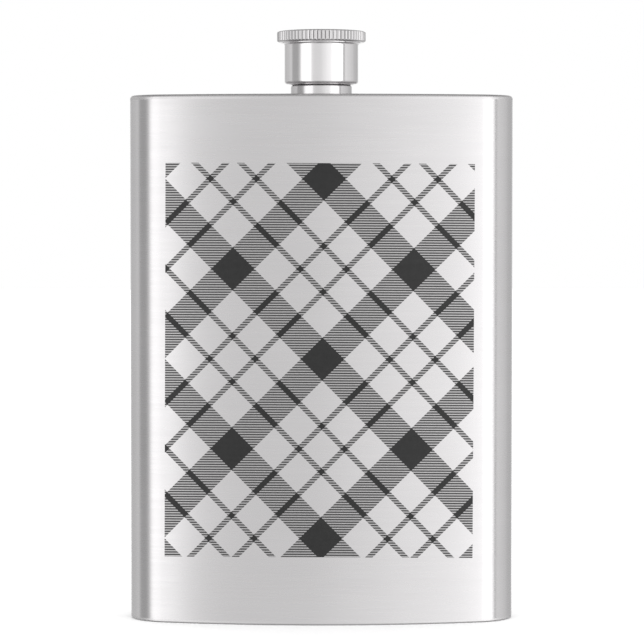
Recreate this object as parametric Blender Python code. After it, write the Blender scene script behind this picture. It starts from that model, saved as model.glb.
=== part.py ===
"""A hip flask: a bent stainless steel body, a threaded neck and a knurled screw cap.

The flask stands on its base at z = 0 with its width along X. The bulging front faces -Y and the
hollowed back, which sits against a leg, faces +Y. The neck pieces are modelled about their own
axis, with z = 0 on the flask's shoulder, and are then placed on it. Lengths are in metres.
"""

import math

import bmesh
import bpy
from mathutils import Vector

MM = 0.001
QUARTER = math.pi / 2
HALF = math.pi
FULL = 2 * math.pi

# Body: its section is a thick arc with round ends.
BODY_WIDTH = 95.25 * MM
BODY_THICKNESS = 22.5 * MM
BODY_HEIGHT = 130.2 * MM
BEND_RADIUS = 130.0 * MM
SHELL_WALL = 0.5 * MM

# Top and bottom plates: drawn pans whose skirts stand inside the shells.
PLATE_WALL = 0.6 * MM
TOP_ROUNDING = 0.9 * MM
BASE_ROUNDING = 0.5 * MM
RIM_BAND = 0.3 * MM
SKIRT_HEIGHT = 3.0 * MM
BASE_LAND = 4.4 * MM
BASE_RECESS = 0.8 * MM

# Neck: a spigot through the top plate, a collar on it, and a tube with an outside thread.
NECK_BORE = 5.3 * MM
NECK_WALL = 1.0 * MM
SPIGOT_DEPTH = 2.0 * MM
COLLAR_STEP = 1.25 * MM
COLLAR_HEIGHT = 1.75 * MM
COLLAR_CHAMFER = 0.5 * MM
LIP_MARGIN = 0.7 * MM
LIP_ROUNDING = 0.3 * MM

# Thread: a right-handed ridge on the neck, and a shorter one in the cap's groove beside it.
THREAD_PITCH = 2.0 * MM
THREAD_TURNS = 2.25
THREAD_DEPTH = 0.7 * MM
THREAD_ROOT_WIDTH = 1.0 * MM
THREAD_CREST_WIDTH = 0.35 * MM
THREAD_START = 0.9 * MM
THREAD_CLEARANCE = 0.25 * MM
THREAD_SINK = 0.3 * MM

# Cap: a drawn barrel, a threaded plastic insert inside it, a knurled top and a sealing disc.
BARREL_WALL = 0.55 * MM
BARREL_ROUNDING = 0.55 * MM
BARREL_DISH = 0.45 * MM
BARREL_COVE = 0.6 * MM
BARREL_EDGE = 0.15 * MM
INSERT_WALL = 1.0 * MM
INSERT_WEB = 0.8 * MM
BEAD_DEPTH = 0.5 * MM
BEAD_HEIGHT = 0.4 * MM
SEAL_THICKNESS = 1.2 * MM
TOP_THICKNESS = 3.0 * MM
TOP_OVERHANG = 1.85 * MM
TOP_SPIGOT = 0.8 * MM
TOP_CHAMFER = 0.4 * MM
KNURL_TEETH = 68
KNURL_DEPTH = 0.3 * MM
KNURL_FLANK = 0.35

# Clearance between pieces that touch, and how finely round shapes are divided.
FIT = 0.3 * MM
MERGE = 0.0005 * MM
ROUND_STEPS = 48
FACE_STEPS = 16
END_STEPS = 7
FILLET_STEPS = 4

# Worked out from the sizes above.
END_RADIUS = BODY_THICKNESS / 2
BEND = math.asin((BODY_WIDTH - BODY_THICKNESS) / 2 / BEND_RADIUS)
SAGITTA = BEND_RADIUS * (1 - math.cos(BEND))
NECK_Y = -SAGITTA / 2
BEND_CENTRE = Vector((0, NECK_Y + BEND_RADIUS))
RIGHT_END = BEND_CENTRE + BEND_RADIUS * Vector((math.sin(BEND), -math.cos(BEND)))
LEFT_END = Vector((-RIGHT_END.x, RIGHT_END.y))
SEAM_ANGLE = FIT / 2 / END_RADIUS
SKIRT_INSET = SHELL_WALL + FIT
TOP_RIM = TOP_ROUNDING + RIM_BAND
BASE_RIM = BASE_ROUNDING + RIM_BAND

NECK_OUTSIDE = NECK_BORE + NECK_WALL
COLLAR_RADIUS = NECK_OUTSIDE + COLLAR_STEP
COLLAR_TOP = FIT + COLLAR_HEIGHT
THREAD_CREST = NECK_OUTSIDE + THREAD_DEPTH
THREAD_BOTTOM = COLLAR_TOP + THREAD_START + THREAD_ROOT_WIDTH / 2
THREAD_TOP = THREAD_BOTTOM + THREAD_TURNS * THREAD_PITCH + THREAD_ROOT_WIDTH / 2
LIP_TOP = THREAD_TOP + LIP_MARGIN

INSERT_BORE = THREAD_CREST + THREAD_CLEARANCE
INSERT_OUTSIDE = INSERT_BORE + INSERT_WALL
BARREL_INSIDE = INSERT_OUTSIDE + FIT
BARREL_OUTSIDE = BARREL_INSIDE + BARREL_WALL
BARREL_BOTTOM = COLLAR_TOP + FIT
BARREL_FLOOR = BARREL_BOTTOM + BARREL_DISH + BARREL_WALL
INSERT_BOTTOM = BARREL_FLOOR + FIT
SEAL_BOTTOM = LIP_TOP + FIT
SEAL_TOP = SEAL_BOTTOM + SEAL_THICKNESS
SEAL_RADIUS = INSERT_BORE - FIT
WEB_BOTTOM = SEAL_TOP + FIT
INSERT_TOP = WEB_BOTTOM + INSERT_WEB
TOP_SPIGOT_BOTTOM = INSERT_TOP + FIT
TOP_BOTTOM = TOP_SPIGOT_BOTTOM + TOP_SPIGOT
BARREL_TOP = TOP_BOTTOM - FIT
TOP_RADIUS = BARREL_OUTSIDE + TOP_OVERHANG


def arc(centre, radius, start, end, steps):
    """Points on an arc, both ends included. An angle is measured from -Y towards +X."""
    angles = [start + (end - start) * step / steps for step in range(steps + 1)]
    return [centre + radius * Vector((math.sin(angle), -math.cos(angle))) for angle in angles]


def front_path(inset, seam):
    """The front half of the body's section, moved inwards, from the left seam to the right one."""
    left = arc(LEFT_END, END_RADIUS - inset, seam - BEND - QUARTER, -BEND, END_STEPS)
    face = arc(BEND_CENTRE, BEND_RADIUS + END_RADIUS - inset, -BEND, BEND, FACE_STEPS)
    right = arc(RIGHT_END, END_RADIUS - inset, BEND, BEND + QUARTER - seam, END_STEPS)
    return left + face[1:] + right[1:]


def back_path(inset, seam):
    """The back half of the body's section, moved inwards, from the right seam to the left one."""
    right = arc(RIGHT_END, END_RADIUS - inset, BEND + QUARTER + seam, BEND + HALF, END_STEPS)
    face = arc(BEND_CENTRE, BEND_RADIUS - END_RADIUS + inset, BEND, -BEND, FACE_STEPS)
    left = arc(LEFT_END, END_RADIUS - inset, HALF - BEND, HALF + QUARTER - BEND - seam, END_STEPS)
    return right + face[1:] + left[1:]


def section_ring(inset, z):
    """The whole section as a ring of points at one height."""
    outline = front_path(inset, 0) + back_path(inset, 0)[1:-1]
    return [point.to_3d() + Vector((0, 0, z)) for point in outline]


def quarter_round(radius, steps=FILLET_STEPS):
    """A rounded edge as (inset, drop) pairs, from the flat face over to the side."""
    angles = [QUARTER * step / steps for step in range(steps + 1)]
    return [(radius * (1 - math.sin(a)), radius * (1 - math.cos(a))) for a in angles]


def add_object(name, bm, material=None, parent=None):
    """Makes a mesh object of bm, with the edges of its round faces shaded smooth."""
    mesh = bpy.data.meshes.new(name)
    bmesh.ops.recalc_face_normals(bm, faces=bm.faces)
    bm.to_mesh(mesh)
    bm.free()
    mesh.shade_smooth()
    mesh.set_sharp_from_angle(angle=math.radians(30))
    obj = bpy.data.objects.new(name, mesh)
    bpy.context.scene.collection.objects.link(obj)
    obj.parent = parent
    if material:
        mesh.materials.append(material)
    else:
        obj.hide_render = True
        obj.display_type = "WIRE"
    return obj


def add_empty(name, place=(0, 0, 0), parent=None):
    empty = bpy.data.objects.new(name, None)
    empty.location = place
    empty.parent = parent
    empty.empty_display_size = 10 * MM
    bpy.context.scene.collection.objects.link(empty)
    return empty


def add_boolean(obj, operation, other):
    modifier = obj.modifiers.new(other.name, "BOOLEAN")
    modifier.operation = operation
    modifier.solver = "EXACT"
    modifier.object = other


def lofted(rings):
    """A solid through rings of equally many points: each is extruded into the next."""
    bm = bmesh.new()
    verts = [bm.verts.new(point) for point in rings[0]]
    first = [bm.edges.new(pair) for pair in zip(verts, verts[1:] + verts[:1])]
    last = first
    for ring in rings[1:]:
        geometry = bmesh.ops.extrude_edge_only(bm, edges=last)["geom"]
        last = [item for item in geometry if isinstance(item, bmesh.types.BMEdge)]
        raised = {item for item in geometry if isinstance(item, bmesh.types.BMVert)}
        verts = [raised_from(vert, raised) for vert in verts]
        for vert, point in zip(verts, ring):
            vert.co = point
    bmesh.ops.holes_fill(bm, edges=first + last)
    return bm


def raised_from(vert, raised):
    """The one of the raised points that was extruded from vert."""
    ends = [edge.other_vert(vert) for edge in vert.link_edges]
    return next(end for end in ends if end in raised)


def turned(profile):
    """A solid of revolution about Z. A profile that leaves the axis free is closed on itself."""
    bm = bmesh.new()
    verts = [bm.verts.new((radius, 0, z)) for radius, z in profile]
    pairs = list(zip(verts, verts[1:]))
    if profile[0][0] > 0:
        pairs.append((verts[-1], verts[0]))
    edges = [bm.edges.new(pair) for pair in pairs]
    bmesh.ops.spin(
        bm,
        geom=verts + edges,
        cent=(0, 0, 0),
        axis=(0, 0, 1),
        angle=FULL,
        steps=ROUND_STEPS,
        use_merge=True,
    )
    bmesh.ops.remove_doubles(bm, verts=bm.verts, dist=MERGE)
    return bm


def thread_ridge(root, crest, bottom, turns):
    """One thread ridge on a right-handed helix, sunk a little into the wall at its root."""
    flank = (THREAD_ROOT_WIDTH - THREAD_CREST_WIDTH) / 2 / THREAD_DEPTH
    sunk = root - math.copysign(THREAD_SINK, crest - root)
    sunk_half = THREAD_ROOT_WIDTH / 2 + flank * THREAD_SINK
    crest_half = THREAD_CREST_WIDTH / 2
    bm = bmesh.new()
    corners = ((sunk, -sunk_half), (crest, -crest_half), (crest, crest_half), (sunk, sunk_half))
    section = bm.faces.new([bm.verts.new((radius, 0, bottom + z)) for radius, z in corners])
    bmesh.ops.spin(
        bm,
        geom=section.verts[:] + section.edges[:] + [section],
        cent=(0, 0, 0),
        axis=(0, 0, 1),
        dvec=(0, 0, THREAD_PITCH / ROUND_STEPS),
        angle=FULL * turns,
        steps=round(ROUND_STEPS * turns),
    )
    return bm


def principled(name, colour, roughness, metallic):
    material = bpy.data.materials.new(name)
    material.use_nodes = True
    shader = material.node_tree.nodes["Principled BSDF"]
    shader.inputs["Base Color"].default_value = (*colour, 1)
    shader.inputs["Roughness"].default_value = roughness
    shader.inputs["Metallic"].default_value = metallic
    return material


def brushed_steel(name):
    return principled(name, (0.56, 0.56, 0.55), 0.36, 1.0)


def polished_steel(name):
    return principled(name, (0.62, 0.62, 0.61), 0.16, 1.0)


def make_shell(name, path):
    """Half of the body's wall: one formed sheet, seamed to the other half along the round ends."""
    outline = path(0, SEAM_ANGLE) + path(SHELL_WALL, SEAM_ANGLE)[::-1]
    bottom = BASE_RIM + FIT
    top = BODY_HEIGHT - TOP_RIM - FIT
    bm = bmesh.new()
    sheet = bm.faces.new([bm.verts.new((*point, bottom)) for point in outline])
    raised = bmesh.ops.extrude_face_region(bm, geom=[sheet])["geom"]
    moved = [item for item in raised if isinstance(item, bmesh.types.BMVert)]
    bmesh.ops.translate(bm, verts=moved, vec=(0, 0, top - bottom))
    add_object(name, bm, brushed_steel(name + "_steel"))


def pan_rings(rounding, rim):
    """The outer side, step and skirt of a plate, as (inset, depth) pairs from its flat face."""
    return [
        *quarter_round(rounding),
        (0, rim),
        (SKIRT_INSET, rim),
        (SKIRT_INSET, rim + SKIRT_HEIGHT),
        (SKIRT_INSET + PLATE_WALL, rim + SKIRT_HEIGHT),
        (SKIRT_INSET + PLATE_WALL, PLATE_WALL),
    ]


def make_top_plate():
    """The shoulder: an upside-down pan with a hole for the neck's spigot."""
    pairs = pan_rings(TOP_ROUNDING, TOP_RIM)
    rings = [section_ring(inset, BODY_HEIGHT - depth) for inset, depth in pairs]
    plate = add_object("top_plate", lofted(rings), brushed_steel("top_plate_steel"))
    reach = 2 * (PLATE_WALL + FIT)
    hole = NECK_OUTSIDE + FIT
    cutter = turned([(0, -reach), (hole, -reach), (hole, reach), (0, reach)])
    cutter = add_object("neck_hole_cutter", cutter)
    cutter.location = (0, NECK_Y, BODY_HEIGHT)
    add_boolean(plate, "DIFFERENCE", cutter)


def make_bottom_plate():
    """The base: a pan that stands on a flat land, with its middle panel pressed inwards."""
    land_inner = BASE_ROUNDING + BASE_LAND
    panel = land_inner + BASE_RECESS
    outside = [(panel, BASE_RECESS), (land_inner, 0)]
    inside = [(land_inner, PLATE_WALL), (panel, BASE_RECESS + PLATE_WALL)]
    pairs = outside + pan_rings(BASE_ROUNDING, BASE_RIM) + inside
    rings = [section_ring(inset, height) for inset, height in pairs]
    add_object("bottom_plate", lofted(rings), brushed_steel("bottom_plate_steel"))


def make_neck(place):
    """The spout: spigot, collar and threaded tube in one turned piece."""
    profile = [
        (NECK_BORE, -SPIGOT_DEPTH),
        (NECK_OUTSIDE, -SPIGOT_DEPTH),
        (NECK_OUTSIDE, FIT),
        (COLLAR_RADIUS, FIT),
        (COLLAR_RADIUS, COLLAR_TOP - COLLAR_CHAMFER),
        (COLLAR_RADIUS - COLLAR_CHAMFER, COLLAR_TOP),
        (NECK_OUTSIDE, COLLAR_TOP),
        (NECK_OUTSIDE, LIP_TOP - LIP_ROUNDING),
        (NECK_OUTSIDE - LIP_ROUNDING, LIP_TOP),
        (NECK_BORE + LIP_ROUNDING, LIP_TOP),
        (NECK_BORE, LIP_TOP - LIP_ROUNDING),
    ]
    neck = add_object("neck_spout", turned(profile), polished_steel("neck_steel"), place)
    ridge = thread_ridge(NECK_OUTSIDE, THREAD_CREST, THREAD_BOTTOM, THREAD_TURNS)
    add_boolean(neck, "UNION", add_object("neck_thread", ridge, parent=place))


def make_barrel(turning):
    """The cap's drawn steel sleeve: rolled in under the insert, and flared under the knurled top."""
    lip = INSERT_BORE
    dish = BARREL_BOTTOM + BARREL_DISH
    flare = BARREL_OUTSIDE + BARREL_COVE
    flare_bottom = BARREL_TOP - BARREL_EDGE
    rounded = quarter_round(BARREL_ROUNDING)
    cove = quarter_round(BARREL_COVE)
    profile = [
        (lip, BARREL_BOTTOM),
        *[(BARREL_OUTSIDE - inset, dish + rise) for inset, rise in rounded],
        *[(flare - BARREL_COVE + inset, flare_bottom - rise) for inset, rise in cove[::-1]],
        (flare, BARREL_TOP),
        (BARREL_INSIDE, BARREL_TOP),
        (BARREL_INSIDE, BARREL_FLOOR),
        (lip, BARREL_FLOOR),
    ]
    add_object("cap_barrel", turned(profile), polished_steel("barrel_steel"), turning)


def make_insert(turning):
    """The threaded plastic cup that grips the neck, with a bead that keeps the seal in."""
    bead = INSERT_BORE - BEAD_DEPTH
    bead_top = SEAL_BOTTOM - FIT
    profile = [
        (0, INSERT_TOP),
        (INSERT_OUTSIDE, INSERT_TOP),
        (INSERT_OUTSIDE, INSERT_BOTTOM),
        (INSERT_BORE, INSERT_BOTTOM),
        (INSERT_BORE, bead_top - BEAD_HEIGHT),
        (bead, bead_top - BEAD_HEIGHT),
        (bead, bead_top),
        (INSERT_BORE, bead_top),
        (INSERT_BORE, WEB_BOTTOM),
        (0, WEB_BOTTOM),
    ]
    plastic = principled("insert_plastic", (0.05, 0.05, 0.05), 0.45, 0.0)
    insert = add_object("cap_threaded_insert", turned(profile), plastic, turning)
    ridge = thread_ridge(
        INSERT_BORE,
        INSERT_BORE - THREAD_DEPTH,
        THREAD_BOTTOM + THREAD_PITCH / 2,
        THREAD_TURNS - 0.5,
    )
    add_boolean(insert, "UNION", add_object("insert_thread", ridge, parent=turning))


def make_seal(lifting):
    """The soft disc that the cap presses onto the neck's lip."""
    profile = [(0, SEAL_TOP), (SEAL_RADIUS, SEAL_TOP), (SEAL_RADIUS, SEAL_BOTTOM), (0, SEAL_BOTTOM)]
    silicone = principled("seal_silicone", (0.72, 0.72, 0.70), 0.55, 0.0)
    add_object("sealing_disc", turned(profile), silicone, lifting)


def knurl_ring(root, crest, z):
    """A ring of teeth about Z: each has a flat crest between two sloping flanks."""
    points = []
    for tooth in range(KNURL_TEETH):
        for radius, share in ((root, 0), (crest, KNURL_FLANK), (crest, 1 - KNURL_FLANK)):
            angle = FULL * (tooth + share) / KNURL_TEETH
            points.append((radius * math.cos(angle), radius * math.sin(angle), z))
    return points


def make_knurled_top(turning):
    """The gripping disc on the cap, with a spigot that plugs into the barrel."""
    spigot = BARREL_INSIDE - FIT
    root = TOP_RADIUS - KNURL_DEPTH
    chamfer = root - TOP_CHAMFER
    top = TOP_BOTTOM + TOP_THICKNESS
    levels = [
        (spigot, spigot, TOP_SPIGOT_BOTTOM),
        (spigot, spigot, TOP_BOTTOM),
        (chamfer, chamfer, TOP_BOTTOM),
        (root, TOP_RADIUS, TOP_BOTTOM + TOP_CHAMFER),
        (root, TOP_RADIUS, top - TOP_CHAMFER),
        (chamfer, chamfer, top),
    ]
    disc = lofted([knurl_ring(*level) for level in levels])
    add_object("cap_knurled_top", disc, polished_steel("knurled_top_steel"), turning)


def main():
    for obj in list(bpy.data.objects):
        bpy.data.objects.remove(obj)
    make_shell("front_shell", front_path)
    make_shell("back_shell", back_path)
    make_top_plate()
    make_bottom_plate()
    neck_axis = add_empty("neck_axis", (0, NECK_Y, BODY_HEIGHT))
    lifting = add_empty("cap_lift_axis", parent=neck_axis)
    turning = add_empty("cap_turn_axis", parent=lifting)
    make_neck(neck_axis)
    make_seal(lifting)
    make_insert(turning)
    make_barrel(turning)
    make_knurled_top(turning)


main()
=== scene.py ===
"""The finished look of a hip flask: brushed and polished steel, a printed plaid and a screw cap.

Every piece stands where the CAD node of the same part stands. Lengths are in metres, +Z is up, the
printed front faces -Y, and the neck's axis is upright through the middle of the shoulder.
"""

import math

import bmesh
import bpy
from bpy.props import FloatProperty, FloatVectorProperty, IntProperty, PointerProperty
from mathutils import Matrix, Vector


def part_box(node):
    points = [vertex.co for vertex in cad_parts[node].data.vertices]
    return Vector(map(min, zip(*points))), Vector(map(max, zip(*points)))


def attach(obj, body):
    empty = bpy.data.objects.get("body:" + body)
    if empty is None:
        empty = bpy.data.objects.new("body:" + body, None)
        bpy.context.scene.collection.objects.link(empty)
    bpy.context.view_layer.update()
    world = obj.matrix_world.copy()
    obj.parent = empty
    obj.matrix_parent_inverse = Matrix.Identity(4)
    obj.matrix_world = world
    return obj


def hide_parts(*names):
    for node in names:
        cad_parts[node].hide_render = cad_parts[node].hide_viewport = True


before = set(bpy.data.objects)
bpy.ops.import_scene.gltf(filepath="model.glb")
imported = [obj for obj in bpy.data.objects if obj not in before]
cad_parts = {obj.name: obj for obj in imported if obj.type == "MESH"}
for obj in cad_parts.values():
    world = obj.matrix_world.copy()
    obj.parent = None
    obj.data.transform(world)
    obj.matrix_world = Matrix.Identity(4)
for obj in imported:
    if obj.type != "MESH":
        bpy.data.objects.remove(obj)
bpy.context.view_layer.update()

bl_info = {
    "name": "Hip flask",
    "version": (1, 0, 0),
    "blender": (4, 5, 0),
    "location": "3D View > Sidebar > Flask",
    "description": "Builds a plaid steel hip flask with a screw cap, piece by piece",
    "category": "Add Mesh",
}

MM = 0.001
QUARTER = math.pi / 2
FULL = 2 * math.pi
UP = Vector((0, 0, 1))
SHARP = math.radians(35)
SAME_PLACE = 0.001 * MM

# Roundings of the small pieces' edges, from one that is only just broken to a soft one.
BROKEN_EDGE = 0.1 * MM
TRIM_EDGE = 0.12 * MM
SMALL_EDGE = 0.15 * MM
SOFT_EDGE = 0.3 * MM

# A thread's ridge: how deep its foot is in the wall, the part of a turn over which it grows at
# either end, its height at the very end, and how steeply it grows.
THREAD_SINK = 0.25 * MM
THREAD_FADE = 1 / 6
THREAD_STUB = 0.02
THREAD_SWELL = 0.7

PLATE_LOW, PLATE_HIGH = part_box("top_plate")
NECK_LOW, NECK_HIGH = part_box("neck_spout")
TOP_LOW, TOP_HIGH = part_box("cap_knurled_top")
SLEEVE_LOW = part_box("cap_barrel")[0]
SEAL_LOW, SEAL_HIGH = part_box("sealing_disc")
INSERT_LOW, INSERT_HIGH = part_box("cap_threaded_insert")
NECK_AXIS = Vector(((NECK_LOW.x + NECK_HIGH.x) / 2, (NECK_LOW.y + NECK_HIGH.y) / 2, PLATE_HIGH.z))


def length(name, description, default, low=0.0):
    return FloatProperty(
        name=name,
        description=description,
        default=default,
        min=low,
        precision=5,
        subtype="DISTANCE",
        unit="LENGTH",
    )


def angle(name, description, degrees):
    return FloatProperty(
        name=name,
        description=description,
        default=math.radians(degrees),
        subtype="ANGLE",
        unit="ROTATION",
    )


def share(name, description, default):
    return FloatProperty(
        name=name, description=description, default=default, min=0.0, max=1.0, subtype="FACTOR"
    )


def colour(name, description, default):
    return FloatVectorProperty(
        name=name,
        description=description,
        default=default,
        size=3,
        min=0.0,
        max=1.0,
        subtype="COLOR",
    )


class FlaskBodySizes(bpy.types.PropertyGroup):
    """Sizes of the bent body, its two plates and their edges."""

    width: length("Width", "Body's width across the round ends", PLATE_HIGH.x - PLATE_LOW.x)
    thickness: length("Thickness", "Body's thickness from face to face", 22.5 * MM)
    height: length("Height", "From the base to the shoulder", PLATE_HIGH.z)
    bend_radius: length("Bend radius", "Radius that the body's middle is bent to", 130 * MM)
    wall: length("Wall", "Thickness of the sheet that the panels are formed from", 0.5 * MM)
    plate_wall: length("Plate wall", "Thickness of the shoulder and base plates", 0.6 * MM)
    top_rounding: length("Top rounding", "Radius of the shoulder's edge", 0.9 * MM)
    base_rounding: length("Base rounding", "Radius of the base's edge", 0.5 * MM)
    rim_band: length("Rim band", "Upright band of a plate below its rounded edge", 0.3 * MM)
    skirt: length("Skirt", "Depth of a plate's skirt inside the panels", 3 * MM)
    skirt_gap: length("Skirt gap", "Space between a plate's skirt and the panels", 0.3 * MM)
    land: length("Land", "Width of the flat ring that the flask stands on", 4.4 * MM)
    recess: length("Recess", "How far the middle of the base is pressed in", 0.8 * MM)
    recess_rounding: length("Recess rounding", "Radius of the pressed-in middle's edge", 0.4 * MM)
    seam: length("Seam", "Hairline between the two panels along the round ends", 0.08 * MM)


class FlaskNeckSizes(bpy.types.PropertyGroup):
    """Sizes of the spout and of its thread."""

    bore: length("Bore", "Radius of the hole that the drink is poured through", 5.3 * MM)
    outside: length("Outside", "Radius of the spout's tube", 6.3 * MM)
    collar: length("Collar", "Radius of the collar on the shoulder", (NECK_HIGH.x - NECK_LOW.x) / 2)
    collar_height: length("Collar height", "Top of the collar above the shoulder", 2.3 * MM)
    collar_chamfer: length("Collar chamfer", "Bevel round the collar's top edge", 0.25 * MM)
    spigot: length("Spigot", "How far the spout reaches below the shoulder", 2 * MM)
    thread_depth: length("Thread depth", "Height of the thread's ridge", 0.7 * MM)
    thread_root: length("Thread root", "Width of the thread's ridge at its root", 1.0 * MM)
    thread_crest: length("Thread crest", "Width of the thread's ridge at its crest", 0.35 * MM)
    thread_start: length("Thread start", "Middle of the first turn above the shoulder", 3.45 * MM)
    pitch: length("Pitch", "Rise of the thread in one turn", 2 * MM)
    turns: FloatProperty(
        name="Turns", description="Turns of the spout's thread", default=2.25, min=0.5
    )


class FlaskCapSizes(bpy.types.PropertyGroup):
    """Sizes of the cap's steel sleeve, knurled top, plastic insert and sealing disc."""

    sleeve: length("Sleeve", "Outside radius of the steel sleeve", 9.1 * MM)
    sleeve_wall: length("Sleeve wall", "Thickness of the sleeve", 0.55 * MM)
    sleeve_rounding: length("Sleeve rounding", "Radius of the sleeve's bottom edge", 0.55 * MM)
    dish: length("Dish", "How far the sleeve's underside slopes down inwards", 0.45 * MM)
    cove: length("Cove", "Radius of the hollow below the knurled top", 0.6 * MM)
    flare: length("Flare", "Straight edge of the sleeve above the cove", 0.15 * MM)
    top: length("Top", "Radius of the knurled top over its teeth", (TOP_HIGH.x - TOP_LOW.x) / 2)
    top_thickness: length("Top thickness", "Thickness of the knurled top", 3 * MM)
    top_chamfer: length("Top chamfer", "Bevel round the knurled top's two edges", 0.4 * MM)
    crown: length("Crown", "How far the top's middle stands over its rim", 0.12 * MM)
    teeth: IntProperty(name="Teeth", description="Teeth round the cap", default=68, min=8)
    tooth_depth: length("Tooth depth", "Depth of the grooves between the teeth", 0.3 * MM)
    insert_bore: length("Insert bore", "Inside radius of the plastic insert", 7.25 * MM)
    bead: length("Bead", "How far the bead that holds the seal stands in", 0.5 * MM)
    web: length("Web", "Thickness of the insert's end", 0.8 * MM)
    gap: length("Gap", "Space between the cap's pressed-together pieces", 0.3 * MM)


class FlaskFinishes(bpy.types.PropertyGroup):
    """Colours and the strength of the brushing."""

    steel: colour("Steel", "Reflection colour of the steel", (0.688, 0.676, 0.682))
    polished: colour("Polished", "Reflection colour of the cap's sleeve", (0.765, 0.752, 0.758))
    knurled: colour("Knurled", "Reflection colour of the cap's knurled top", (0.62, 0.609, 0.614))
    ink: colour("Ink", "Colour of the printed plaid", (0.009, 0.009, 0.009))
    plastic: colour("Plastic", "Colour of the moulded insert", (0.02, 0.02, 0.021))
    silicone: colour("Silicone", "Colour of the sealing disc", (0.72, 0.72, 0.7))
    floor: colour("Floor", "Colour of the studio floor", (0.86, 0.86, 0.86))
    brushing: share("Brushing", "How much the brushed streaks differ in brightness", 0.035)
    clouds: share("Clouds", "How much broad patches differ in brightness", 0.06)


class FlaskPlaid(bpy.types.PropertyGroup):
    """The plaid on the front panel: two crossing families of hatched bands."""

    centre_x: length("Centre across", "Crossing that the pattern is centred on", 0.51 * MM)
    centre_z: length("Centre up", "Height of the same crossing above the base", 65.4 * MM)
    left: length("Left edge", "Print's left edge", -38.48 * MM, low=-1.0)
    right: length("Right edge", "Print's right edge", 37.48 * MM)
    bottom: length("Bottom edge", "Print's lower edge above the base", 16.83 * MM)
    top: length("Top edge", "Print's upper edge above the base", 113.25 * MM)
    across: length("Period across", "Distance between two crossings, sideways", 44.42 * MM)
    up: length("Period up", "Distance between two crossings, upwards", 44.0 * MM)
    tilt: angle("Tilt", "How far the print was laid on askew, clockwise from the front", 0.26)
    taper: share("Taper", "How much the plaid narrows towards the lower edge", 0.0127)
    sag: FloatProperty(
        name="Sag",
        description="How far the print's lower edge sags at its sides, per square metre",
        default=0.41,
    )
    wide: share("Wide band", "Half-width of the broad bands, as a share of the period", 0.12)
    thin: share("Thin line", "Half-width of the thin lines, as a share of the period", 0.021)
    thin_place: share("Thin line's place", "Thin lines' distance from the band", 0.373)
    hatches: IntProperty(name="Hatches", description="Hatch lines in one period", default=72)
    line: share("Hatch line", "Width of a hatch line, as a share of its spacing", 0.69)
    soft: share("Soft edge", "Width of a hatch line's soft edges, as a share of its spacing", 0.42)


class FlaskStage(bpy.types.PropertyGroup):
    """The floor, the light and the camera."""

    floor_radius: length("Floor radius", "Radius of the round floor", 3.0)
    lens: FloatProperty(
        name="Lens", description="Focal length", default=167.0, subtype="DISTANCE_CAMERA"
    )
    camera_x: length("Camera across", "Camera's place, sideways", 0.15 * MM)
    camera_distance: length("Camera distance", "From the body's front face", 0.729)
    camera_height: length("Camera height", "Above the floor", 0.1025)
    camera_pitch: angle("Camera pitch", "How far the camera looks down", 2.2)
    light_spread: angle("Light spread", "How wide the soft overhead light is", 90)
    light_power: FloatProperty(
        name="Light power", description="Strength of the overhead light", default=2.95, min=0.0
    )


# ---------------------------------------------------------------------------------------------
# Mesh making


def mesh_object(name, bm):
    """Turns bm into an object in the scene."""
    mesh = bpy.data.meshes.new(name)
    bm.to_mesh(mesh)
    bm.free()
    made = bpy.data.objects.new(name, mesh)
    bpy.context.scene.collection.objects.link(made)
    return made


def finish_piece(name, bm, material, body, slot, *nodes):
    """Makes a piece of bm, shades its round faces smooth and puts it in the place of CAD nodes."""
    piece = mesh_object(name, bm)
    piece.data.shade_smooth()
    piece.data.set_sharp_from_angle(angle=SHARP)
    piece.data.materials.append(material)
    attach(piece, body)
    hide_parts(*nodes)
    return piece


def only(kind, geometry):
    return [item for item in geometry if isinstance(item, kind)]


def swept(bm, vert, centre, turn, steps):
    """Spins a point about an upright line and returns where it ends, leaving its path as edges."""
    turned_round = bmesh.ops.spin(
        bm, geom=[vert], cent=centre, axis=UP, angle=turn, steps=steps, use_merge=False
    )
    return only(bmesh.types.BMVert, turned_round["geom_last"])[0]


class Section:
    """The body's cross-section: two faces bent about one centre, and a round end at each side."""

    END_STEPS = 40
    FACE_STEPS = 72

    def __init__(self, sizes):
        self.end_radius = sizes.thickness / 2
        self.bend = math.asin((sizes.width / 2 - self.end_radius) / sizes.bend_radius)
        self.centre = Vector((0, NECK_AXIS.y + sizes.bend_radius, 0))
        self.left_end = self.around(self.centre, sizes.bend_radius, -self.bend)
        self.right_end = self.around(self.centre, sizes.bend_radius, self.bend)

    @staticmethod
    def around(centre, radius, turn):
        """The point at an angle round a centre, measured from -Y towards +X."""
        return centre + radius * Vector((math.sin(turn), -math.cos(turn), 0))

    def half(self, bm, side, inset=0, seam=0, z=0):
        """Draws the front half from left to right, or with side -1 the back one, right to left.

        The line starts and stops at an angle of seam short of the middles of the round ends. Its
        first and last points are returned.
        """
        from_end, to_end = (self.left_end, self.right_end)[::side]
        from_angle = seam - side * (self.bend + QUARTER)
        start = self.around(from_end, self.end_radius - inset, from_angle)
        first = bm.verts.new(start + UP * z)
        last = swept(bm, first, from_end, QUARTER - seam, self.END_STEPS)
        last = swept(bm, last, self.centre, side * 2 * self.bend, self.FACE_STEPS)
        last = swept(bm, last, to_end, QUARTER - seam, self.END_STEPS)
        return first, last

    def whole(self):
        """A flat face in the shape of the whole section, at the height of the floor."""
        bm = bmesh.new()
        for side in (1, -1):
            self.half(bm, side)
        bmesh.ops.remove_doubles(bm, verts=bm.verts, dist=SAME_PLACE)
        bmesh.ops.contextual_create(bm, geom=bm.edges)
        return bm


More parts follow.
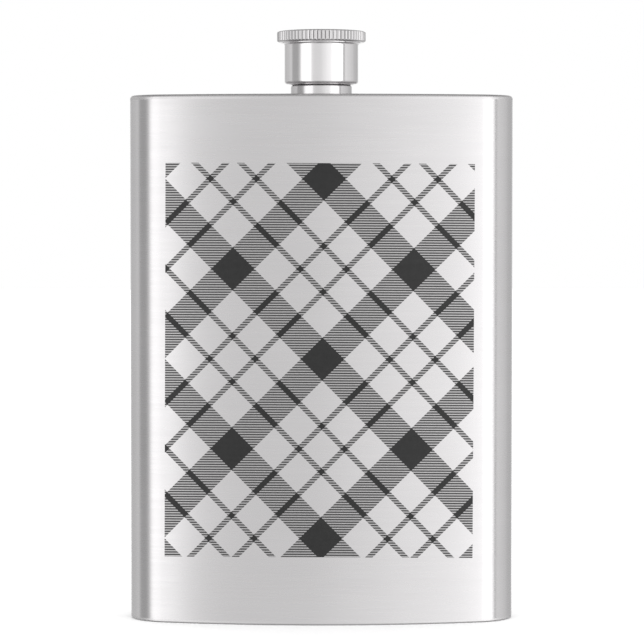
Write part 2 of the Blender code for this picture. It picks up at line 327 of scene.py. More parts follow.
def raise_faces(bm, faces, height):
    """Extrudes faces straight up or down and returns the moved faces."""
    raised = bmesh.ops.extrude_face_region(bm, geom=faces)["geom"]
    bmesh.ops.translate(bm, verts=only(bmesh.types.BMVert, raised), vec=UP * height)
    bmesh.ops.delete(bm, geom=[face for face in faces if face.is_valid], context="FACES_ONLY")
    return only(bmesh.types.BMFace, raised)


def inset_faces(bm, faces, width):
    """Shrinks flat faces inwards by a width and returns the shrunk ones."""
    bmesh.ops.inset_region(bm, faces=faces, thickness=width, use_even_offset=True)
    return faces


def rounded(bm, geometry, radius, segments, affect="EDGES"):
    """Rounds edges, or with affect="VERTICES" the corners of a flat outline."""
    bmesh.ops.bevel(
        bm,
        geom=geometry,
        offset=radius,
        affect=affect,
        segments=segments,
        profile=0.5,
        material=-1,
        clamp_overlap=False,
    )


def rim_of(faces):
    """The edges round the outside of a region of faces."""
    inside = set(faces)
    return [edge for face in faces for edge in face.edges if set(edge.link_faces) - inside]


def level_faces(bm, height):
    """The flat faces at a height."""

    def level(vert):
        return abs(vert.co.z - height) < SAME_PLACE

    return [face for face in bm.faces if all(level(vert) for vert in face.verts)]


def pressed_up(bm, faces, ring, recess):
    """Presses the middle of a level region up at 45 degrees, and leaves a flat ring round it."""
    middle = inset_faces(bm, inset_faces(bm, faces, ring), recess)
    lifted = {vert for face in middle for vert in face.verts}
    bmesh.ops.translate(bm, verts=list(lifted), vec=UP * recess)
    return middle


def pan(section, sizes, rounding):
    """A plate whose rounded edge is to face down, with a skirt that stands up inside the panels."""
    bm = section.whole()
    underside = bm.faces[:]
    bmesh.ops.recalc_face_normals(bm, faces=underside)
    raised = bmesh.ops.extrude_face_region(bm, geom=underside)["geom"]
    rim = rounding + sizes.rim_band
    bmesh.ops.translate(bm, verts=only(bmesh.types.BMVert, raised), vec=UP * rim)
    inner = only(bmesh.types.BMFace, raised)
    inner = inset_faces(bm, inner, sizes.wall + sizes.skirt_gap)
    inner = raise_faces(bm, inner, sizes.skirt)
    inner = inset_faces(bm, inner, sizes.plate_wall)
    raise_faces(bm, inner, sizes.plate_wall - rim - sizes.skirt)
    bmesh.ops.recalc_face_normals(bm, faces=bm.faces)
    return bm


def formed_panel(section, side, sizes):
    """The front panel, or with side -1 the back one: a bent sheet that meets both plates."""
    bm = bmesh.new()
    bottom = sizes.base_rounding + sizes.rim_band
    top = sizes.height - sizes.top_rounding - sizes.rim_band
    seam = sizes.seam / 2 / section.end_radius
    outer = section.half(bm, side, 0, seam, bottom)
    inner = section.half(bm, side, sizes.wall, seam, bottom)
    for ends in zip(outer, inner):
        bm.edges.new(ends)
    sheet = bmesh.ops.contextual_create(bm, geom=bm.edges)["faces"]
    raised = bmesh.ops.extrude_face_region(bm, geom=sheet)["geom"]
    bmesh.ops.translate(bm, verts=only(bmesh.types.BMVert, raised), vec=UP * (top - bottom))
    bmesh.ops.recalc_face_normals(bm, faces=bm.faces)
    return bm


def profile_face(corners, segments=6):
    """A flat outline in the XZ plane, whose corners are (radius, height[, rounding])."""
    bm = bmesh.new()
    verts = [bm.verts.new((corner[0], 0, corner[1])) for corner in corners]
    bm.faces.new(verts)
    for vert, corner in zip(verts, corners):
        if len(corner) > 2:
            rounded(bm, [vert], corner[2], segments, affect="VERTICES")
    return bm


def hold_shading(bm, reach=0.08 * MM):
    """Adds points near the ends of long edges, so that they aren't shaded with their roundings.

    An end on the axis gets none, because the spin would turn it into slivers round the pole.
    """
    for edge in [edge for edge in bm.edges if edge.calc_length() > 6 * reach]:
        for end in tuple(edge.verts):
            if end.co.x > reach:
                bmesh.utils.edge_split(edge, end, reach / edge.calc_length())


def turned(corners, steps, segments=6):
    """A solid of revolution about the neck's axis, from an outline above the shoulder."""
    bm = profile_face(corners, segments)
    hold_shading(bm)
    bmesh.ops.delete(bm, geom=bm.faces[:], context="FACES_ONLY")
    on_axis = [edge for edge in bm.edges if all(vert.co.x < SAME_PLACE for vert in edge.verts)]
    bmesh.ops.delete(bm, geom=on_axis, context="EDGES")
    bmesh.ops.spin(
        bm,
        geom=bm.verts[:] + bm.edges[:],
        cent=(0, 0, 0),
        axis=UP,
        angle=FULL,
        steps=steps,
        use_merge=True,
    )
    bmesh.ops.remove_doubles(bm, verts=bm.verts, dist=SAME_PLACE)
    bmesh.ops.recalc_face_normals(bm, faces=bm.faces)
    bmesh.ops.translate(bm, verts=bm.verts, vec=NECK_AXIS)
    return bm


def add_thread(bm, neck, wall, crest, start, turns, steps=96):
    """Winds a right-handed ridge on a wall: it swells out of the wall and sinks back into it.

    Steps is the number of steps in a turn, and start is the middle of the ridge's first end.
    """
    sunk = wall - math.copysign(THREAD_SINK, crest - wall)
    root, tip = neck.thread_root / 2, neck.thread_crest / 2
    ridge = profile_face(
        (
            (sunk, start - root),
            (crest, start - tip, TRIM_EDGE),
            (crest, start + tip, TRIM_EDGE),
            (sunk, start + root),
        ),
        segments=3,
    )
    corners = len(ridge.verts)
    last = round(steps * turns)
    bmesh.ops.spin(
        ridge,
        geom=ridge.verts[:] + ridge.edges[:] + ridge.faces[:],
        cent=(0, 0, 0),
        axis=UP,
        dvec=UP * neck.pitch / steps,
        angle=FULL * turns,
        steps=last,
    )
    for index, vert in enumerate(ridge.verts):
        step = index // corners
        from_end = min(step, last - step) / (THREAD_FADE * steps)
        grown = min(1.0, THREAD_STUB + from_end) ** THREAD_SWELL
        radius = math.hypot(vert.co.x, vert.co.y)
        scale = (sunk + (radius - sunk) * grown) / radius
        vert.co.x *= scale
        vert.co.y *= scale
    bmesh.ops.recalc_face_normals(ridge, faces=ridge.faces)
    bmesh.ops.translate(ridge, verts=ridge.verts, vec=NECK_AXIS)
    mesh = bpy.data.meshes.new("ridge")
    ridge.to_mesh(mesh)
    ridge.free()
    bm.from_mesh(mesh)
    bpy.data.meshes.remove(mesh)


# ---------------------------------------------------------------------------------------------
# Materials


def add_node(tree, kind, inputs=(), **settings):
    """Adds a node, and sets or links its inputs from a list of (socket, value or output) pairs."""
    node = tree.nodes.new(kind)
    for key, value in settings.items():
        setattr(node, key, value)
    for key, value in dict(inputs).items():
        if isinstance(value, bpy.types.NodeSocket):
            tree.links.new(value, node.inputs[key])
        else:
            node.inputs[key].default_value = value
    return node


def maths(tree, operation, *values):
    """The result of one sum on outputs or numbers."""
    return add_node(tree, "ShaderNodeMath", enumerate(values), operation=operation).outputs[0]


def scaled(tree, source, low, high):
    """Stretches an output from 0..1 to low..high."""
    return maths(tree, "MULTIPLY_ADD", source, high - low, low)


def noise(tree, vector, detail=2.0, roughness=0.5):
    """Noise with one grain to a unit of the vector, which is stretched to set the grain's size."""
    return add_node(
        tree,
        "ShaderNodeTexNoise",
        [("Vector", vector), ("Scale", 1.0), ("Detail", detail), ("Roughness", roughness)],
    ).outputs["Fac"]


def mixed(tree, factor, first, second):
    """Mixes two colours, each an output or an RGB triple."""
    mix = add_node(tree, "ShaderNodeMix", data_type="RGBA")
    tree.links.new(factor, mix.inputs["Factor"])
    # The node has sockets for numbers, vectors and colours, and these are the colour ones.
    for socket, value in ((mix.inputs[6], first), (mix.inputs[7], second)):
        if isinstance(value, bpy.types.NodeSocket):
            tree.links.new(value, socket)
        else:
            socket.default_value = (*value, 1)
    return mix.outputs[2]


def own_coordinates(tree, scale=(1, 1, 1), shift=(0, 0, 0)):
    """The piece's own coordinates, moved and stretched."""
    place = add_node(tree, "ShaderNodeTexCoord")
    return add_node(
        tree,
        "ShaderNodeMapping",
        [("Vector", place.outputs["Object"]), ("Scale", scale), ("Location", shift)],
    ).outputs["Vector"]


def even_noise(tree, grains, detail=2.0):
    """Noise on the piece's own coordinates, with so many grains to a metre each way."""
    return noise(tree, own_coordinates(tree, (grains, grains, grains)), detail)


def smooth_step(tree, value, start, end, low=0.0, high=1.0):
    """Goes softly from low to high as a value goes from start to end."""
    limits = (("From Min", start), ("From Max", end), ("To Min", low), ("To Max", high))
    return add_node(
        tree,
        "ShaderNodeMapRange",
        [("Value", value), *limits],
        interpolation_type="SMOOTHSTEP",
    ).outputs[0]


def new_material(name, settings):
    """A material with one shader, whose even settings are set on its own sockets."""
    material = bpy.data.materials.new(name)
    material.use_nodes = True
    shader = material.node_tree.nodes["Principled BSDF"]
    for socket, value in settings.items():
        shader.inputs[socket].default_value = value
    return material, material.node_tree, shader


def new_steel(name, anisotropic, axis):
    """Bare metal, whose highlights are drawn out across lines that run round an axis."""
    settings = {"Metallic": 1.0, "Anisotropic": anisotropic, "Anisotropic Rotation": 0.25}
    material, tree, shader = new_material(name, settings)
    tangent = add_node(tree, "ShaderNodeTangent", direction_type="RADIAL", axis=axis)
    tree.links.new(tangent.outputs[0], shader.inputs["Tangent"])
    return material, tree, shader


def add_bump(tree, shader, height, strength, distance):
    """Roughens the shader's surface by an output from 0 to 1."""
    bump = add_node(
        tree,
        "ShaderNodeBump",
        [("Height", height), ("Strength", strength), ("Distance", distance)],
    )
    tree.links.new(bump.outputs[0], shader.inputs["Normal"])


def darker(rgb, share_of_light):
    """A colour times a factor, which lightens it if it is over 1."""
    return tuple(channel * share_of_light for channel in rgb)


def brushed_steel(name, finishes, axis="Z"):
    """Steel brushed in fine streaks round an axis, with faint clouds from handling and polishing.

    The streaks are level on the upright panels, and run sideways on the plates with axis "Y".
    """
    material, tree, shader = new_steel(name, 0.85, axis)

    def grain(along, across, detail):
        scale = (along, along, across) if axis == "Z" else (along, across, across)
        return noise(tree, own_coordinates(tree, scale), detail)

    streaks = grain(70, 1500, detail=3.0)
    long_streaks = grain(14, 700, detail=2.0)
    clouds = noise(tree, own_coordinates(tree, (26, 26, 48)), detail=3.0)
    fine, long = 0.8 * finishes.brushing, 0.5 * finishes.brushing
    brightness = scaled(tree, streaks, 0.5 - fine, 0.5 + fine)
    longer = scaled(tree, long_streaks, -long, long)
    cloudy = scaled(tree, clouds, -finishes.clouds, finishes.clouds)
    brightness = maths(tree, "ADD", brightness, maths(tree, "ADD", longer, cloudy))
    steel = mixed(tree, brightness, darker(finishes.steel, 0.5), darker(finishes.steel, 1.5))
    worn = scaled(tree, clouds, -0.03, 0.03)
    roughness = maths(tree, "ADD", scaled(tree, streaks, 0.2, 0.36), worn)
    tree.links.new(steel, shader.inputs["Base Color"])
    tree.links.new(roughness, shader.inputs["Roughness"])
    add_bump(tree, shader, streaks, 0.12, 0.02 * MM)
    return material, tree, shader, steel, roughness


def repeat_distance(tree, value):
    """How far a value is from the nearest whole number, from 0 to a half."""
    return maths(tree, "PINGPONG", value, 0.5)


def band_family(tree, value, plaid):
    """One broad band and a thin line on either side of the gap in every period."""
    away = repeat_distance(tree, value)
    broad = maths(tree, "LESS_THAN", away, plaid.wide)
    thin = maths(tree, "COMPARE", away, plaid.thin_place, plaid.thin)
    return maths(tree, "MAXIMUM", broad, thin)


def hatching(tree, up, plaid, shift):
    """Level hatch lines, moved by a share of their spacing, whose ink thins out at both edges."""
    away = repeat_distance(tree, maths(tree, "MULTIPLY_ADD", up, plaid.hatches, shift))
    clear, full = ((plaid.line + side * plaid.soft) / 2 for side in (1, -1))
    return add_node(
        tree, "ShaderNodeMapRange", [("Value", away), ("From Min", clear), ("From Max", full)]
    ).outputs[0]


def plaid_print(tree, plaid):
    """1 where the plaid's ink lies and 0 elsewhere, from the piece's own coordinates."""
    middle = Vector((0, 0, plaid.centre_z))
    turn = Matrix.Rotation(-plaid.tilt, 3, "Y")
    place = add_node(tree, "ShaderNodeTexCoord")
    tilted = add_node(
        tree,
        "ShaderNodeMapping",
        [
            ("Vector", place.outputs["Object"]),
            ("Location", middle - turn @ middle),
            ("Rotation", turn.to_euler()),
        ],
    )
    parts = add_node(tree, "ShaderNodeSeparateXYZ", [("Vector", tilted.outputs["Vector"])])
    x, z = parts.outputs["X"], parts.outputs["Z"]
    down = maths(tree, "DIVIDE", maths(tree, "SUBTRACT", plaid.top, z), plaid.top - plaid.bottom)
    side = maths(tree, "MULTIPLY", maths(tree, "MULTIPLY", x, x), plaid.sag)
    z = maths(tree, "MULTIPLY_ADD", side, down, z)
    narrowed = maths(tree, "MULTIPLY", maths(tree, "SUBTRACT", x, plaid.left), plaid.taper)
    plaid_x = maths(tree, "MULTIPLY_ADD", narrowed, down, x)
    across = maths(tree, "DIVIDE", maths(tree, "SUBTRACT", plaid_x, plaid.centre_x), plaid.across)
    up = maths(tree, "DIVIDE", maths(tree, "SUBTRACT", z, plaid.centre_z), plaid.up)
    rising = band_family(tree, maths(tree, "ADD", across, up), plaid)
    falling = band_family(tree, maths(tree, "SUBTRACT", across, up), plaid)
    lines = hatching(tree, up, plaid, -plaid.line / 2)
    spaces = hatching(tree, up, plaid, plaid.line / 2)
    ink = maths(tree, "MULTIPLY_ADD", rising, lines, maths(tree, "MULTIPLY", falling, spaces))
    ink = maths(tree, "MINIMUM", ink, 1.0)
    middle_x, half_x = (plaid.left + plaid.right) / 2, (plaid.right - plaid.left) / 2
    middle_z, half_z = (plaid.bottom + plaid.top) / 2, (plaid.top - plaid.bottom) / 2
    inside_x = maths(tree, "COMPARE", x, middle_x, half_x)
    inside_z = maths(tree, "COMPARE", z, middle_z, half_z)
    front = maths(tree, "LESS_THAN", parts.outputs["Y"], 0.0)
    inside = maths(tree, "MULTIPLY", maths(tree, "MULTIPLY", inside_x, inside_z), front)
    return maths(tree, "MULTIPLY", ink, inside)


def printed_steel(name, finishes, plaid):
    """Brushed steel with the plaid screen-printed on it in satin black ink."""
    material, tree, shader, steel, roughness = brushed_steel(name, finishes)
    ink = plaid_print(tree, plaid)
    patchy = even_noise(tree, 900)
    ink_colour = mixed(tree, patchy, finishes.ink, darker(finishes.ink, 2.2))
    tree.links.new(mixed(tree, ink, steel, ink_colour), shader.inputs["Base Color"])
    bare = maths(tree, "SUBTRACT", 1.0, ink)
    tree.links.new(bare, shader.inputs["Metallic"])
    inked = maths(tree, "MULTIPLY", ink, scaled(tree, patchy, 0.2, 0.3))
    tree.links.new(maths(tree, "ADD", roughness, inked), shader.inputs["Roughness"])
    return material


def turned_steel(name, steel, roughness, turning_lines, groove=None):
    """Polished steel with fine lines that run round the neck's axis, with painted shade in any cut
    grooves.

    Groove gives the radii of the grooves' tops and of their bottoms.
    """
    material, tree, shader = new_steel(name, 0.6, "Z")
    centred = own_coordinates(tree, shift=-NECK_AXIS)
    x, y, z = add_node(tree, "ShaderNodeSeparateXYZ", [("Vector", centred)]).outputs
    squares = maths(tree, "MULTIPLY_ADD", x, x, maths(tree, "MULTIPLY", y, y))
    radius = maths(tree, "SQRT", squares)
    around = maths(tree, "ARCTAN2", y, x)
    line_place = add_node(
        tree,
        "ShaderNodeCombineXYZ",
        [
            ("X", maths(tree, "MULTIPLY", radius, 5200)),
            ("Y", maths(tree, "SINE", around)),
            ("Z", maths(tree, "MULTIPLY", z, 5200)),
        ],
    ).outputs[0]
    lines = noise(tree, line_place, detail=3.0, roughness=0.6)
    clouds = even_noise(tree, 180)
    brightness = scaled(tree, lines, 0.5 - turning_lines, 0.5 + turning_lines)
    brightness = maths(tree, "ADD", brightness, scaled(tree, clouds, -0.04, 0.04))
    # Painted shade: the colour is darkened towards the bottoms of the grooves, where the knurl
    # shuts out light.
    if groove:
        crest, root = groove
        inner = smooth_step(tree, radius, root - 0.15 * MM, root)
        outer = smooth_step(tree, radius, crest - 0.04 * MM, root)
        shade_level = maths(tree, "MULTIPLY", inner, outer)
        brightness = maths(tree, "MULTIPLY_ADD", shade_level, -0.25, brightness)
    shade = mixed(tree, brightness, darker(steel, 0.5), darker(steel, 1.5))
    tree.links.new(shade, shader.inputs["Base Color"])
    fine = scaled(tree, lines, roughness - 0.03, roughness + 0.05)
    rough = maths(tree, "ADD", fine, scaled(tree, clouds, -0.02, 0.03))
    tree.links.new(rough, shader.inputs["Roughness"])
    add_bump(tree, shader, lines, 0.2, 0.01 * MM)
    return material


def moulded_plastic(name, finishes):
    """Black plastic with the faint orange-peel of a mould and lighter rubbed patches."""
    material, tree, shader = new_material(name, {"IOR": 1.5})
    grain = even_noise(tree, 2400, detail=3.0)
    patches = even_noise(tree, 220)
    shade = mixed(tree, patches, finishes.plastic, darker(finishes.plastic, 1.9))
    tree.links.new(shade, shader.inputs["Base Color"])
    tree.links.new(scaled(tree, patches, 0.32, 0.52), shader.inputs["Roughness"])
    add_bump(tree, shader, grain, 0.3, 0.02 * MM)
    return material


def soft_silicone(name, finishes):
    """Milky silicone with a matte skin."""
    settings = {"IOR": 1.41, "Subsurface Weight": 0.15, "Subsurface Scale": 0.5 * MM}
    material, tree, shader = new_material(name, settings)
    mottle = even_noise(tree, 500, detail=3.0)
    skin = even_noise(tree, 3500)
    shade = mixed(tree, mottle, darker(finishes.silicone, 0.92), finishes.silicone)
    tree.links.new(shade, shader.inputs["Base Color"])
    tree.links.new(scaled(tree, mottle, 0.45, 0.65), shader.inputs["Roughness"])
    add_bump(tree, shader, skin, 0.2, 0.01 * MM)
    return material


def pale_floor(name, shade):
    """An even, matte floor with a hardly visible mottle."""
    material, tree, shader = new_material(name, {"Roughness": 0.8})
    grain = even_noise(tree, 40)
    mottled = mixed(tree, grain, darker(shade, 0.99), darker(shade, 1.01))
    tree.links.new(mottled, shader.inputs["Base Color"])
    return material


# ---------------------------------------------------------------------------------------------
# Operators


class FLASK_OT_panels(bpy.types.Operator):
    """Makes the printed front panel and the hollowed back panel"""

    bl_idname = "flask.panels"
    bl_label = "Body panels"

    def execute(self, context):
        sizes = context.scene.flask_body
        finishes = context.scene.flask_finishes
        section = Section(sizes)
        front = formed_panel(section, 1, sizes)
        steel = printed_steel("brushed steel with plaid", finishes, context.scene.flask_plaid)
        finish_piece("front_panel", front, steel, "flask", "printed_steel", "front_shell")
        back = formed_panel(section, -1, sizes)
        steel = brushed_steel("brushed steel, back", finishes)[0]
        finish_piece("back_panel", back, steel, "flask", "shell_steel", "back_shell")
        return {"FINISHED"}


class FLASK_OT_shoulder(bpy.types.Operator):
    """Makes the plate that closes the body's top, with the hole for the spout"""

    bl_idname = "flask.shoulder"
    bl_label = "Shoulder plate"

    def execute(self, context):
        sizes = context.scene.flask_body
        neck = context.scene.flask_neck
        bm = pan(Section(sizes), sizes, sizes.top_rounding)
        rounded(bm, rim_of(level_faces(bm, 0)), sizes.top_rounding, 10)
        bmesh.ops.scale(bm, verts=bm.verts, vec=(1, 1, -1))
        bmesh.ops.translate(bm, verts=bm.verts, vec=UP * sizes.height)
        bmesh.ops.recalc_face_normals(bm, faces=bm.faces)
        steel = brushed_steel("brushed steel, shoulder", context.scene.flask_finishes, "Y")[0]
        plate = finish_piece("shoulder_plate", bm, steel, "flask", "plate_steel", "top_plate")
        reach = 3 * sizes.plate_wall
        hole = neck.outside + sizes.skirt_gap
        drill = mesh_object(
            "drill", turned(((0, -reach), (hole, -reach), (hole, reach), (0, reach)), 96)
        )
        cut = plate.modifiers.new("spout hole", "BOOLEAN")
        cut.operation = "DIFFERENCE"
        cut.solver = "EXACT"
        cut.object = drill
        drilled = plate.evaluated_get(context.evaluated_depsgraph_get())
        plate.data = bpy.data.meshes.new_from_object(drilled)
        plate.data.set_sharp_from_angle(angle=SHARP)
        plate.modifiers.clear()
        bpy.data.objects.remove(drill)
        return {"FINISHED"}


class FLASK_OT_base(bpy.types.Operator):
    """Makes the base plate, which stands on a flat land round a pressed-in middle"""

    bl_idname = "flask.base"
    bl_label = "Base plate"

    def execute(self, context):
        sizes = context.scene.flask_body
        bm = pan(Section(sizes), sizes, sizes.base_rounding)
        ring = sizes.base_rounding + sizes.land
        middle = pressed_up(bm, level_faces(bm, 0), ring, sizes.recess)
        inside_skirt = sizes.wall + sizes.skirt_gap + sizes.plate_wall
        slope = sizes.plate_wall * (math.sqrt(2) - 1)
        inner = level_faces(bm, sizes.plate_wall)
        pressed_up(bm, inner, ring - inside_skirt - slope, sizes.recess)
        bmesh.ops.recalc_face_normals(bm, faces=bm.faces)
        rounded(bm, rim_of(middle), sizes.recess_rounding, 4)
        outer = [
            edge
            for edge in rim_of(level_faces(bm, 0))
            if any(abs(face.normal.z) < 0.1 for face in edge.link_faces)
        ]
        rounded(bm, outer, sizes.base_rounding, 8)
        steel = brushed_steel("brushed steel, base", context.scene.flask_finishes, "Y")[0]
        finish_piece("base_plate", bm, steel, "flask", "plate_steel", "bottom_plate")
        return {"FINISHED"}


class FLASK_OT_spout(bpy.types.Operator):
    """Makes the turned spout with its collar and outside thread"""

    bl_idname = "flask.spout"
    bl_label = "Spout"

    def execute(self, context):
        neck = context.scene.flask_neck
        lip = NECK_HIGH.z - NECK_AXIS.z
        corners = (
            (neck.bore, -neck.spigot, BROKEN_EDGE),
            (neck.outside, -neck.spigot, BROKEN_EDGE),
            (neck.outside, 0),
            (neck.collar, 0),
            (neck.collar, neck.collar_height - neck.collar_chamfer, TRIM_EDGE),
            (neck.collar - neck.collar_chamfer, neck.collar_height, TRIM_EDGE),
            (neck.outside, neck.collar_height, SMALL_EDGE),
            (neck.outside, lip, SOFT_EDGE),
            (neck.bore, lip, SOFT_EDGE),
        )
        bm = turned(corners, 128)
        crest = neck.outside + neck.thread_depth
        add_thread(bm, neck, neck.outside, crest, neck.thread_start, neck.turns)
        steel = turned_steel("turned steel, spout", context.scene.flask_finishes.steel, 0.16, 0.05)
        finish_piece("spout", bm, steel, "flask", "neck_steel", "neck_spout")
        return {"FINISHED"}


class FLASK_OT_cap_sleeve(bpy.types.Operator):
    """Makes the cap's drawn steel sleeve"""

    bl_idname = "flask.cap_sleeve"
    bl_label = "Cap sleeve"

    def execute(self, context):
        cap = context.scene.flask_cap
        low = SLEEVE_LOW.z - NECK_AXIS.z
        high = TOP_HIGH.z - NECK_AXIS.z - cap.top_thickness
        edge = low + cap.dish
        inside = cap.sleeve - cap.sleeve_wall
        flare = cap.sleeve + cap.cove
        cove_steps = 8
        cove = []
        for step in range(cove_steps, -1, -1):
            turn = QUARTER * step / cove_steps
            down = cap.flare + cap.cove * (1 - math.cos(turn))
            cove.append((flare - cap.cove * math.sin(turn), high - down))
        corners = (
            (cap.insert_bore, low, BROKEN_EDGE),
            (cap.sleeve, edge, cap.sleeve_rounding),
            *cove,
            (flare, high),
            (inside, high),
            (inside, edge + cap.sleeve_wall),
            (cap.insert_bore, edge + cap.sleeve_wall, BROKEN_EDGE),
        )
        bm = turned(corners, 160, segments=8)
        steel = turned_steel(
            "polished steel, cap sleeve", context.scene.flask_finishes.polished, 0.14, 0.03
        )
        finish_piece("cap_sleeve", bm, steel, "cap", "cap_steel", "cap_barrel")
        return {"FINISHED"}


class FLASK_OT_cap_top(bpy.types.Operator):
    """Makes the knurled disc that the cap is turned by"""

    bl_idname = "flask.cap_top"
    bl_label = "Knurled cap top"

    def execute(self, context):
        cap = context.scene.flask_cap
        plug_end = TOP_LOW.z - NECK_AXIS.z
        high = TOP_HIGH.z - NECK_AXIS.z
        low = high - cap.top_thickness
        plug = cap.sleeve - cap.sleeve_wall - cap.gap
        root = cap.top - cap.tooth_depth
        rim = root - cap.top_chamfer
        crown = [(rim * part, high - cap.crown * part * part) for part in (0.6, 0.3, 0)]
        corners = (
            (0, plug_end),
            (plug, plug_end, BROKEN_EDGE),
            (plug, low),
            (rim, low, BROKEN_EDGE),
            (cap.top, low + cap.top_chamfer, SMALL_EDGE),
            (cap.top, high - cap.top_chamfer, SMALL_EDGE),
            (rim, high - cap.crown, 0.25 * MM),
            *crown,
        )
        steps_per_tooth = 8
        bm = turned(corners, cap.teeth * steps_per_tooth, segments=4)
        # Half a groove's width as a share of a tooth: the points inside it sink towards the root.
        groove_share = 0.36
        bottom = NECK_AXIS.z + low - 0.01 * MM
        for vert in bm.verts:
            flat = (vert.co - NECK_AXIS).to_2d()
            radius = flat.length
            if radius <= root or vert.co.z < bottom:
                continue
            phase = math.atan2(flat.y, flat.x) * cap.teeth / FULL
            rise = min(1.0, abs(phase - round(phase)) / groove_share)
            rise = rise * rise * (3 - 2 * rise)
            kept = (root + (radius - root) * rise) / radius
            vert.co.xy = NECK_AXIS.xy + flat * kept
        bmesh.ops.recalc_face_normals(bm, faces=bm.faces)
        steel = turned_steel(
            "polished steel, knurled top",
            context.scene.flask_finishes.knurled,
            0.16,
            0.06,
            groove=(cap.top, root),
        )
        finish_piece("cap_top", bm, steel, "cap", "cap_steel", "cap_knurled_top")
        return {"FINISHED"}


class FLASK_OT_cap_insert(bpy.types.Operator):
    """Makes the plastic cup with the inside thread"""

    bl_idname = "flask.cap_insert"
    bl_label = "Threaded insert"

    def execute(self, context):
        cap = context.scene.flask_cap
        neck = context.scene.flask_neck
        low = INSERT_LOW.z - NECK_AXIS.z
        high = INSERT_HIGH.z - NECK_AXIS.z
        outside = cap.sleeve - cap.sleeve_wall - cap.gap
        bead = cap.insert_bore - cap.bead
        bead_top = SEAL_LOW.z - NECK_AXIS.z - cap.gap
        bead_low = bead_top - 0.4 * MM
        corners = (
            (0, high),
            (outside, high, 0.2 * MM),
            (outside, low, SMALL_EDGE),
            (cap.insert_bore, low, SOFT_EDGE),
            (cap.insert_bore, bead_low),
            (bead, bead_low, SMALL_EDGE),
            (bead, bead_top, SMALL_EDGE),
            (cap.insert_bore, bead_top),
            (cap.insert_bore, high - cap.web),
            (0, high - cap.web),
        )
        bm = turned(corners, 96, segments=4)
        crest = cap.insert_bore - neck.thread_depth
        start = neck.thread_start + neck.pitch / 2
        add_thread(bm, neck, cap.insert_bore, crest, start, neck.turns - 0.5)
        plastic = moulded_plastic("moulded plastic", context.scene.flask_finishes)
        finish_piece("cap_insert", bm, plastic, "cap", "insert_plastic", "cap_threaded_insert")
        return {"FINISHED"}


class FLASK_OT_seal(bpy.types.Operator):
    """Makes the loose sealing disc, with the faint ring that the spout's lip has pressed into it"""

    bl_idname = "flask.seal"
    bl_label = "Sealing disc"

    def execute(self, context):
        neck = context.scene.flask_neck
        low = SEAL_LOW.z - NECK_AXIS.z
        high = SEAL_HIGH.z - NECK_AXIS.z
        radius = (SEAL_HIGH.x - SEAL_LOW.x) / 2
        pressed, soft_rim = 0.1 * MM, 0.25 * MM
        ring_brink, ring_floor = 0.08 * MM, 0.05 * MM
        corners = (
            (0, high),
            (radius, high, soft_rim),
            (radius, low, soft_rim),
            (neck.outside, low, ring_brink),
            (neck.outside - pressed, low + pressed, ring_floor),
            (neck.bore + pressed, low + pressed, ring_floor),
            (neck.bore, low, ring_brink),
            (0, low),
        )
        bm = turned(corners, 96, segments=4)
        silicone = soft_silicone("silicone", context.scene.flask_finishes)
        finish_piece("seal", bm, silicone, "seal", "seal_silicone", "sealing_disc")
        return {"FINISHED"}


# Brightness of the studio round the flask, at angles in degrees from the camera towards +X: a
# softbox at either side of the camera, darker gaps beyond them, duller walls behind and a soft
# highlight at the back.
STUDIO = (
    (-180, 1.0),
    (-167, 0.82),
    (-152, 0.58),
    (-128, 0.66),
    (-108, 0.76),
    (-100, 0.46),
    (-80, 0.46),
    (-72, 0.66),
    (-65, 1.3),
    (-60, 1.6),
    (-34, 1.5),
    (-30.5, 1.03),
    (-26, 0.9),
    (-17, 0.86),
    (-3, 0.88),
    (9, 1.02),
    (21, 1.16),
    (31, 1.24),
    (35, 1.45),
    (41, 1.7),
    (63, 1.75),
    (69, 1.6),
    (71.5, 1.2),
    (73.5, 0.5),
    (76.5, 0.5),
    (79.5, 0.93),
    (97, 0.84),
    (112, 0.76),
    (128, 0.62),
    (150, 0.54),
    (167, 0.8),
    (180, 1.0),
)
STUDIO_PEAK = max(level for degrees, level in STUDIO)


def studio_light(scene):
    """Soft light from all round, with two softboxes, and plain white where the camera looks."""
    world = bpy.data.worlds.new("studio")
    scene.world = world
    world.use_nodes = True
    tree = world.node_tree
    tree.nodes.clear()
    place = add_node(tree, "ShaderNodeTexCoord")
    parts = add_node(tree, "ShaderNodeSeparateXYZ", [("Vector", place.outputs["Generated"])])
    x, y, z = parts.outputs
    around = maths(tree, "ARCTAN2", x, maths(tree, "MULTIPLY", y, -1.0))
    around = maths(tree, "MULTIPLY_ADD", around, 1 / FULL, 0.5)
    ramp = add_node(tree, "ShaderNodeValToRGB", [("Fac", around)])
    ramp.color_ramp.interpolation = "EASE"
    stops = ramp.color_ramp.elements
    stops.remove(stops[-1])
    for degrees, level in STUDIO:
        stop = stops[0] if degrees == -180 else stops.new(degrees / 360 + 0.5)
        stop.color = (level / STUDIO_PEAK,) * 3 + (1,)
    # The studio is duller straight above and straight below than round the flask.
    shade_level = 0.45
    overhead = smooth_step(tree, z, 0.35, 0.85, 1.0, shade_level)
    below = smooth_step(tree, z, -0.35, -0.85, 1.0, shade_level)
    dimmed = maths(tree, "MULTIPLY", overhead, below)
    strength = maths(tree, "MULTIPLY", dimmed, STUDIO_PEAK)
    around_light = add_node(
        tree, "ShaderNodeBackground", [("Color", ramp.outputs[0]), ("Strength", strength)]
    )
    white = add_node(tree, "ShaderNodeBackground", [("Color", (1, 1, 1, 1)), ("Strength", 1.0)])
    path = add_node(tree, "ShaderNodeLightPath")
    chosen = add_node(
        tree,
        "ShaderNodeMixShader",
        [(0, path.outputs["Is Camera Ray"]), (1, around_light.outputs[0]), (2, white.outputs[0])],
    )
    add_node(tree, "ShaderNodeOutputWorld", [("Surface", chosen.outputs[0])])


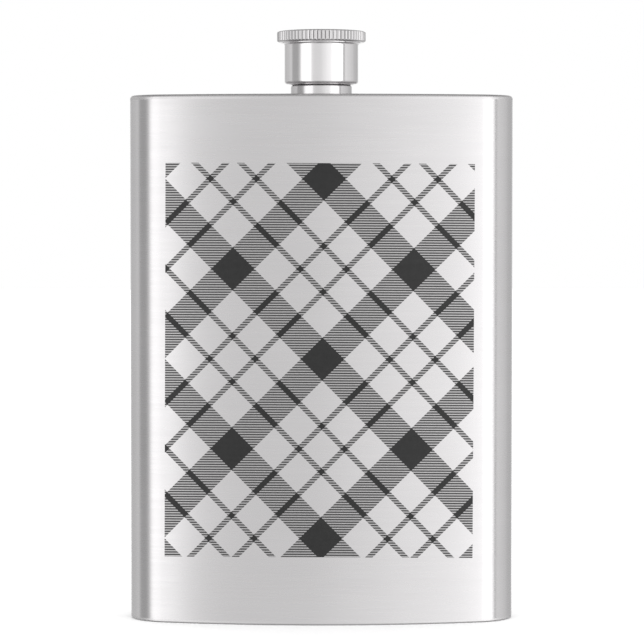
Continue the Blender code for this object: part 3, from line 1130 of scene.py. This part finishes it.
class FLASK_OT_stage(bpy.types.Operator):
    """Makes the pale floor, the soft light and the camera"""

    bl_idname = "flask.stage"
    bl_label = "Studio"

    def execute(self, context):
        scene = context.scene
        stage = scene.flask_stage
        bm = bmesh.new()
        bmesh.ops.create_circle(bm, cap_ends=True, segments=96, radius=stage.floor_radius)
        floor = mesh_object("floor", bm)
        floor.data.materials.append(pale_floor("pale floor", scene.flask_finishes.floor))
        floor.visible_glossy = False

        light = bpy.data.lights.new("overhead light", "SUN")
        light.angle = stage.light_spread
        light.energy = stage.light_power
        lamp = bpy.data.objects.new("overhead light", light)
        lamp.visible_glossy = False
        scene.collection.objects.link(lamp)
        studio_light(scene)

        lens = bpy.data.cameras.new("camera")
        lens.lens = stage.lens
        lens.clip_start = 0.01
        camera = bpy.data.objects.new("camera", lens)
        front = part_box("front_shell")[0].y
        camera.location = (stage.camera_x, front - stage.camera_distance, stage.camera_height)
        camera.rotation_euler = (QUARTER - stage.camera_pitch, 0, 0)
        scene.collection.objects.link(camera)
        scene.camera = camera
        scene.view_settings.view_transform = "Standard"
        return {"FINISHED"}


OPERATORS = (
    FLASK_OT_panels,
    FLASK_OT_shoulder,
    FLASK_OT_base,
    FLASK_OT_spout,
    FLASK_OT_cap_sleeve,
    FLASK_OT_cap_top,
    FLASK_OT_cap_insert,
    FLASK_OT_seal,
    FLASK_OT_stage,
)
GROUPS = {
    "flask_body": FlaskBodySizes,
    "flask_neck": FlaskNeckSizes,
    "flask_cap": FlaskCapSizes,
    "flask_finishes": FlaskFinishes,
    "flask_plaid": FlaskPlaid,
    "flask_stage": FlaskStage,
}


class FLASK_PT_sidebar(bpy.types.Panel):
    """Lists the flask's sizes, its finishes and the buttons that build it"""

    bl_idname = "FLASK_PT_sidebar"
    bl_label = "Hip flask"
    bl_space_type = "VIEW_3D"
    bl_region_type = "UI"
    bl_category = "Flask"

    def draw(self, context):
        for name, group in GROUPS.items():
            box = self.layout.box()
            box.label(text=name.replace("_", " ").capitalize())
            for key in group.__annotations__:
                box.prop(getattr(context.scene, name), key)
        for operator in OPERATORS:
            self.layout.operator(operator.bl_idname)


CLASSES = (*GROUPS.values(), *OPERATORS, FLASK_PT_sidebar)


def register():
    for entry in CLASSES:
        bpy.utils.register_class(entry)
    for name, group in GROUPS.items():
        setattr(bpy.types.Scene, name, PointerProperty(type=group))


def unregister():
    for name in GROUPS:
        delattr(bpy.types.Scene, name)
    for entry in reversed(CLASSES):
        bpy.utils.unregister_class(entry)


def main():
    register()
    bpy.ops.flask.panels()
    bpy.ops.flask.shoulder()
    bpy.ops.flask.base()
    bpy.ops.flask.spout()
    bpy.ops.flask.cap_sleeve()
    bpy.ops.flask.cap_top()
    bpy.ops.flask.cap_insert()
    bpy.ops.flask.seal()
    bpy.ops.flask.stage()


if __name__ == "__main__":
    main()
